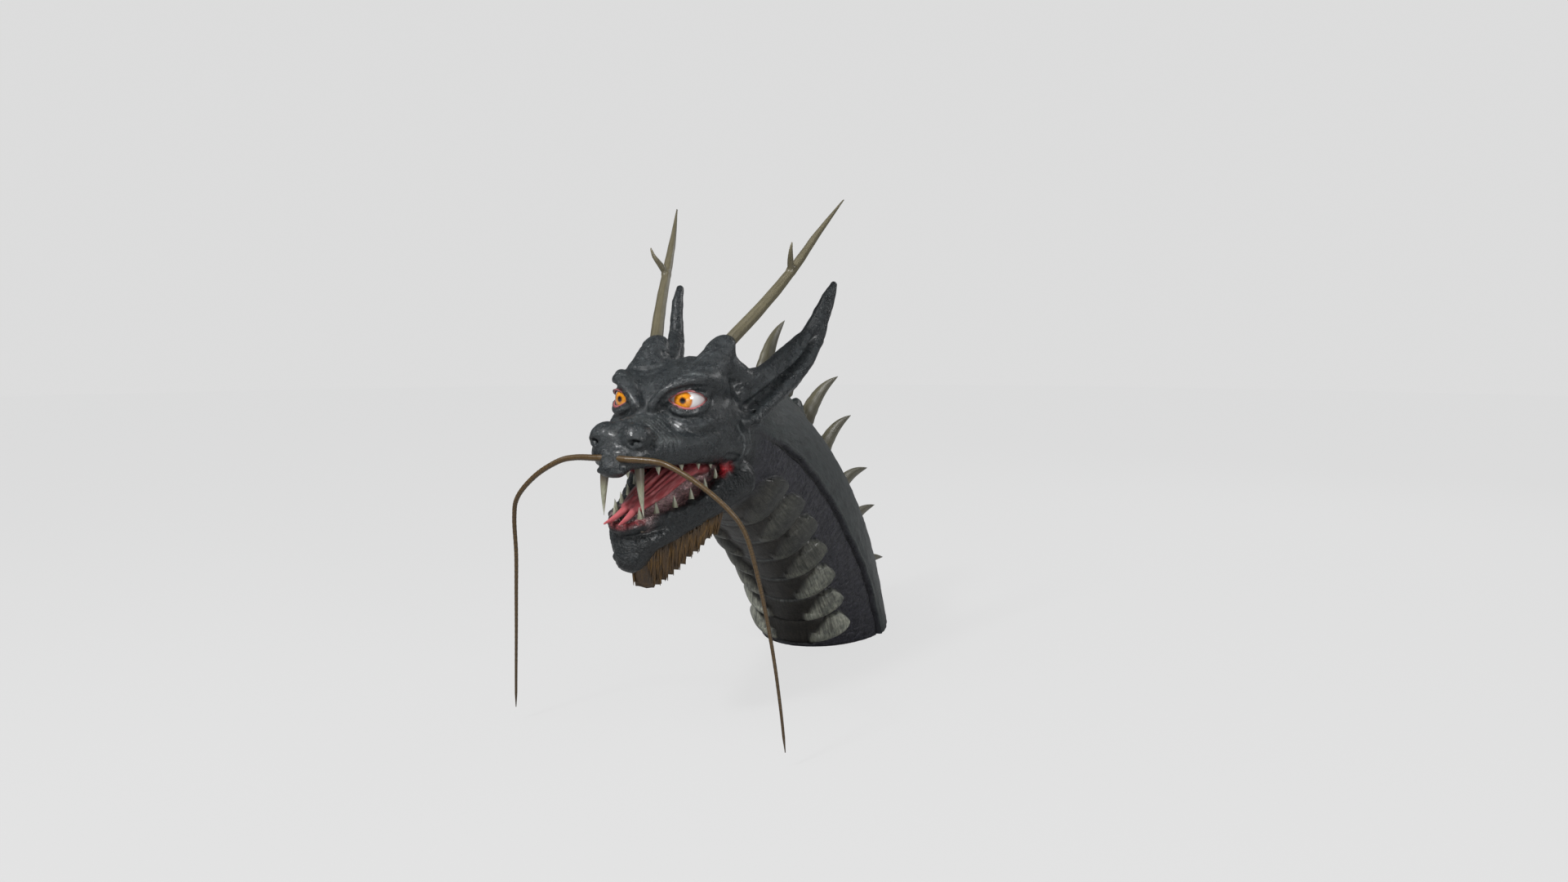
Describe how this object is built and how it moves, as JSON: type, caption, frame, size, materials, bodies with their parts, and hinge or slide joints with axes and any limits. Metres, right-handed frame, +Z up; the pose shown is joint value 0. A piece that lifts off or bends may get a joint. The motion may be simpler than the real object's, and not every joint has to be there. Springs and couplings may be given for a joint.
{
  "type": "carved dragon head",
  "caption": "Carved and painted head and neck of an East Asian dragon with open jaws, antlers, ears, whiskers and back spines, cut flat below the neck.",
  "frame": {"origin": "middle of the neck's flat cut", "axes": "+Z up, away from the cut; the dragon faces -Y and its left side is +X"},
  "size_m": [0.3276, 0.8416, 0.5897],
  "materials": {
    "charcoal_skin": "carved wood, painted charcoal with blue-green glaze, half gloss",
    "olive_horn": "carved wood, painted olive horn, satin",
    "tooth": "carved wood, painted ivory, half gloss",
    "eye": "glazed ball, white with an amber iris, high gloss",
    "tongue": "carved wood, painted red, half gloss",
    "whisker": "bent wood, stained golden brown, satin",
    "beard": "carved wood, stained golden brown, satin"
  },
  "bodies": {
    "root": {"antler_left": "olive_horn", "antler_right": "olive_horn", "beard": "beard", "eye_left": "eye", "eye_right": "eye", "fang_left": "tooth", "fang_right": "tooth", "head_neck": "charcoal_skin", "lower_tooth_1_left": "tooth", "lower_tooth_1_right": "tooth", "lower_tooth_2_left": "tooth", "lower_tooth_2_right": "tooth", "lower_tooth_3_left": "tooth", "lower_tooth_3_right": "tooth", "lower_tooth_4_left": "tooth", "lower_tooth_4_right": "tooth", "lower_tooth_5_left": "tooth", "lower_tooth_5_right": "tooth", "lower_tooth_6_left": "tooth", "lower_tooth_6_right": "tooth", "spine_1": "olive_horn", "spine_2": "olive_horn", "spine_3": "olive_horn", "spine_4": "olive_horn", "spine_5": "olive_horn", "spine_6": "olive_horn", "spine_7": "olive_horn", "tongue": "tongue", "upper_tooth_1_left": "tooth", "upper_tooth_1_right": "tooth", "upper_tooth_2_left": "tooth", "upper_tooth_2_right": "tooth", "upper_tooth_3_left": "tooth", "upper_tooth_3_right": "tooth", "upper_tooth_4_left": "tooth", "upper_tooth_4_right": "tooth", "upper_tooth_5_left": "tooth", "upper_tooth_5_right": "tooth", "whisker_left": "whisker", "whisker_right": "whisker"}
  },
  "joints": []
}
